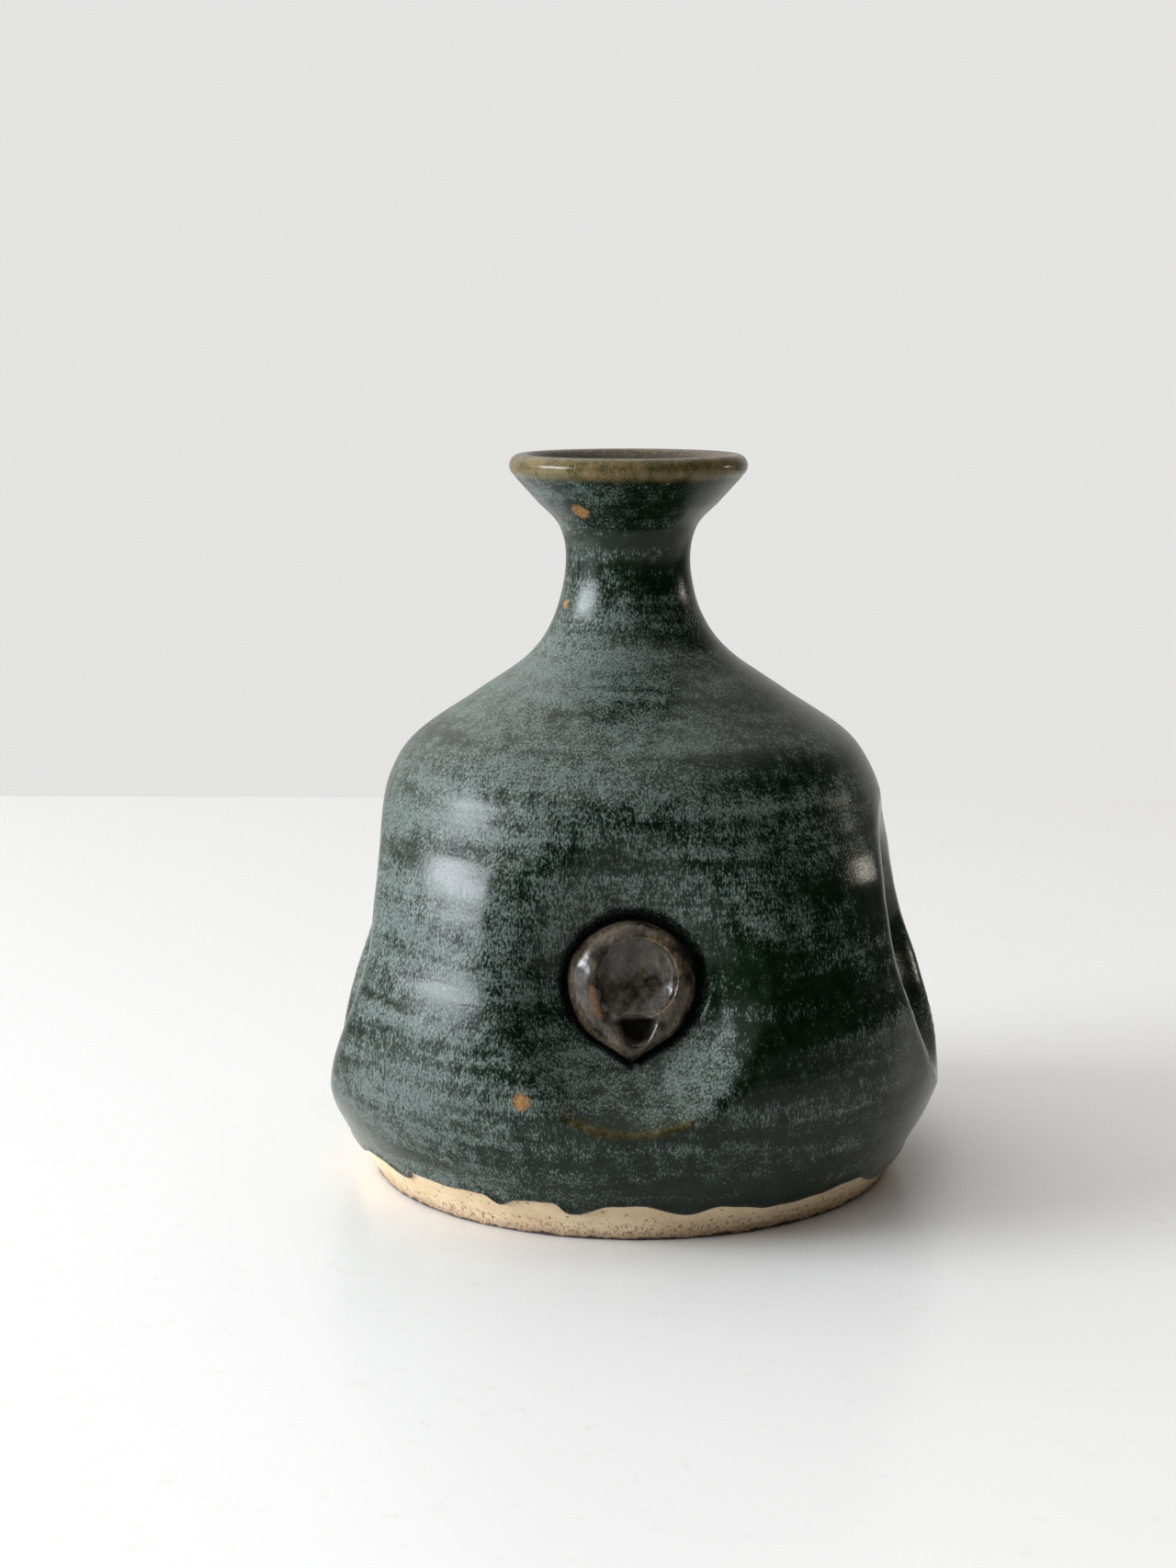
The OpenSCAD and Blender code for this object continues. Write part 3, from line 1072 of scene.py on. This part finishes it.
def clay(name, pale, deep):
    """Bare clay: grainy and specked, with fine cracks, darker towards its lower edge where it stands and near
    black along the very bottom.
    """
    paint = Paint(name)
    grain = paint.noise(0.45, 0.45, 0.45, detail=3.0, roughness=0.65)
    clouds = paint.noise(9.0, 9.0, 5.0, detail=2.0, shift=(3.0, 3.0, 7.0))
    specks = paint.noise(0.8, 0.8, 0.8, detail=1.0, shift=(6.0, 1.0, 2.0))
    crackle = paint.noise(0.55, 0.55, 9.0, detail=2.0, roughness=0.6, shift=(2.0, 9.0, 4.0))
    ragged = paint.noise(2.6, 2.6, 2.6, detail=3.0, roughness=0.7, shift=(8.0, 6.0, 1.0))
    colour = paint.mix(paint.span(clouds, 0.3, 0.7), deep, pale)
    colour = paint.mix(paint.span(grain, 0.42, 0.60, 0.0, 0.35), colour, (0.88, 0.74, 0.53))
    colour = paint.mix(paint.span(specks, 0.66, 0.74, 0.0, 0.8), colour, (0.12, 0.06, 0.03))
    height = paint.place("Z")
    low = paint.span(height, 2.6 * MM, 4.8 * MM, 1.0, 0.0)
    cracks = paint.times(paint.span(crackle, 0.54, 0.62), low)
    colour = paint.mix(paint.times(cracks, 0.7), colour, (0.22, 0.11, 0.07))
    edge = paint.total(height, paint.times(ragged, 2.4 * MM))
    # Darker towards the lower edge, and near black along the very bottom
    colour = paint.mix(paint.span(edge, 1.9 * MM, 4.0 * MM, 0.55, 0.0), colour, (0.36, 0.21, 0.14))
    darkest_band = paint.span(edge, 1.45 * MM, 2.05 * MM, 0.92, 0.0)
    colour = paint.mix(darkest_band, colour, (0.035, 0.018, 0.012))
    normal = paint.relief(grain, 0.12, 0.7)
    normal = paint.relief(paint.times(cracks, -1.0), 0.12, 0.8, under=normal)
    return paint.finish(colour, paint.span(grain, 0.3, 0.7, 0.72, 0.92), normal)


def counter():
    paint = Paint("pale_counter")
    flecks = paint.noise(5.0, 5.0, 5.0, detail=3.0, roughness=0.6)
    colour = paint.mix(paint.span(flecks, 0.60, 0.74, 0.0, 0.35), (0.84, 0.84, 0.835), (0.75, 0.72, 0.65))
    return paint.finish(colour, 0.26, paint.relief(flecks, 0.01, 0.2), Specular_IOR_Level=0.25)


# ------------------------------------------------------------------ stage, light and camera
def make_stage():
    """A pale counter top, whose far edge is where the photo's meets the wall."""
    back = 0.404
    mesh = bpy.data.meshes.new("counter_top")
    mesh.from_pydata([(-3, -3, 0), (3, -3, 0), (3, back, 0), (-3, back, 0)], [], [(0, 1, 2, 3)])
    mesh.materials.append(counter())
    floor = bpy.data.objects.new("counter_top", mesh)
    bpy.context.scene.collection.objects.link(floor)


# The height on the vase that the lights face, in metres
LIT_HEIGHT = 0.08


def area_light(name, azimuth, elevation, distance, width, height, power, colour):
    """An oval of light that faces the vase and isn't seen by the camera."""
    light = bpy.data.lights.new(name, "AREA")
    light.shape = "ELLIPSE"
    light.size = width
    light.size_y = height
    light.energy = power
    light.color = colour
    lamp = bpy.data.objects.new(name, light)
    turn, rise = math.radians(azimuth), math.radians(elevation)
    x, y = around(turn, distance * math.cos(rise))
    lamp.location = (x, y, distance * math.sin(rise) + LIT_HEIGHT)
    aim = Vector((0, 0, LIT_HEIGHT)) - lamp.location
    lamp.rotation_euler = aim.to_track_quat("-Z", "Y").to_euler()
    lamp.visible_camera = False
    bpy.context.scene.collection.objects.link(lamp)


def make_world():
    """A pale room: darker towards the front, where the glaze mirrors it, and one even tone behind."""
    world = bpy.data.worlds.new("pale_room")
    bpy.context.scene.world = world
    world.use_nodes = True
    tree = world.node_tree
    nodes, links = tree.nodes, tree.links
    out = nodes["World Output"]
    room = nodes["Background"]
    wall = nodes.new("ShaderNodeBackground")
    wall.inputs["Color"].default_value = (0.775, 0.770, 0.765, 1)
    where = nodes.new("ShaderNodeTexCoord")

    def glow(direction, low, high, strength):
        """Light from one side of the room: nothing where the cosine of the angle to that side is low or
        less, growing to its strength where it is high or more."""
        dot = nodes.new("ShaderNodeVectorMath")
        dot.operation = "DOT_PRODUCT"
        links.new(where.outputs["Generated"], dot.inputs[0])
        dot.inputs[1].default_value = direction
        ramp = nodes.new("ShaderNodeMapRange")
        ramp.interpolation_type = "SMOOTHSTEP"
        for value, socket in zip((low, high, 0.0, strength), list(ramp.inputs)[1:5]):
            socket.default_value = value
        links.new(dot.outputs["Value"], ramp.inputs[0])
        return ramp.outputs["Result"]

    glows = nodes.new("ShaderNodeMath")
    links.new(glow((-0.35, 0.94, 0.0), 0.0, 0.85, 0.50), glows.inputs[0])
    links.new(glow((-0.42, 0.08, 0.90), 0.3, 0.95, 1.25), glows.inputs[1])
    lifted = nodes.new("ShaderNodeMath")
    links.new(glows.outputs[0], lifted.inputs[0])
    lifted.inputs[1].default_value = 0.03
    links.new(lifted.outputs[0], room.inputs["Strength"])
    room.inputs["Color"].default_value = (1.0, 0.98, 0.945, 1)
    path = nodes.new("ShaderNodeLightPath")
    choose = nodes.new("ShaderNodeMixShader")
    links.new(path.outputs["Is Camera Ray"], choose.inputs[0])
    links.new(room.outputs[0], choose.inputs[1])
    links.new(wall.outputs[0], choose.inputs[2])
    links.new(choose.outputs[0], out.inputs["Surface"])


def make_camera():
    camera = bpy.data.cameras.new("camera")
    camera.lens = 60
    camera.sensor_width = 36
    camera.clip_start = 0.01
    viewer = bpy.data.objects.new("camera", camera)
    viewer.location = (-0.00043, -0.5054, 0.16375)
    viewer.rotation_euler = (math.radians(90 - 9.9), 0, math.radians(0.93))
    bpy.context.scene.collection.objects.link(viewer)
    bpy.context.scene.camera = viewer


make_camera()
make_world()
make_stage()
area_light("window_above", -77, 18, 1.3, 0.86, 0.33, 18.5, (0.88, 0.94, 1.0))
area_light("window_below", -77, 3, 1.3, 0.80, 0.26, 1.4, (0.88, 0.94, 1.0))
area_light("lamp", 112, 10, 1.2, 0.035, 0.06, 0.6, (1.0, 0.93, 0.80))
bpy.context.scene.view_settings.view_transform = "Standard"

green = green_glaze()
button_paint = button_glaze()
body_clay = clay("stoneware_paint", pale=(0.84, 0.66, 0.43), deep=(0.70, 0.51, 0.30))
core_clay = clay("button_clay_paint", pale=(0.50, 0.36, 0.22), deep=(0.40, 0.27, 0.15))
outer_glaze(green)
stoneware_body(body_clay)
liner_glaze(liner_glaze_paint())
for dimple in DIMPLES:
    button_clay(dimple, core_clay)
    button_coat(dimple, button_paint)
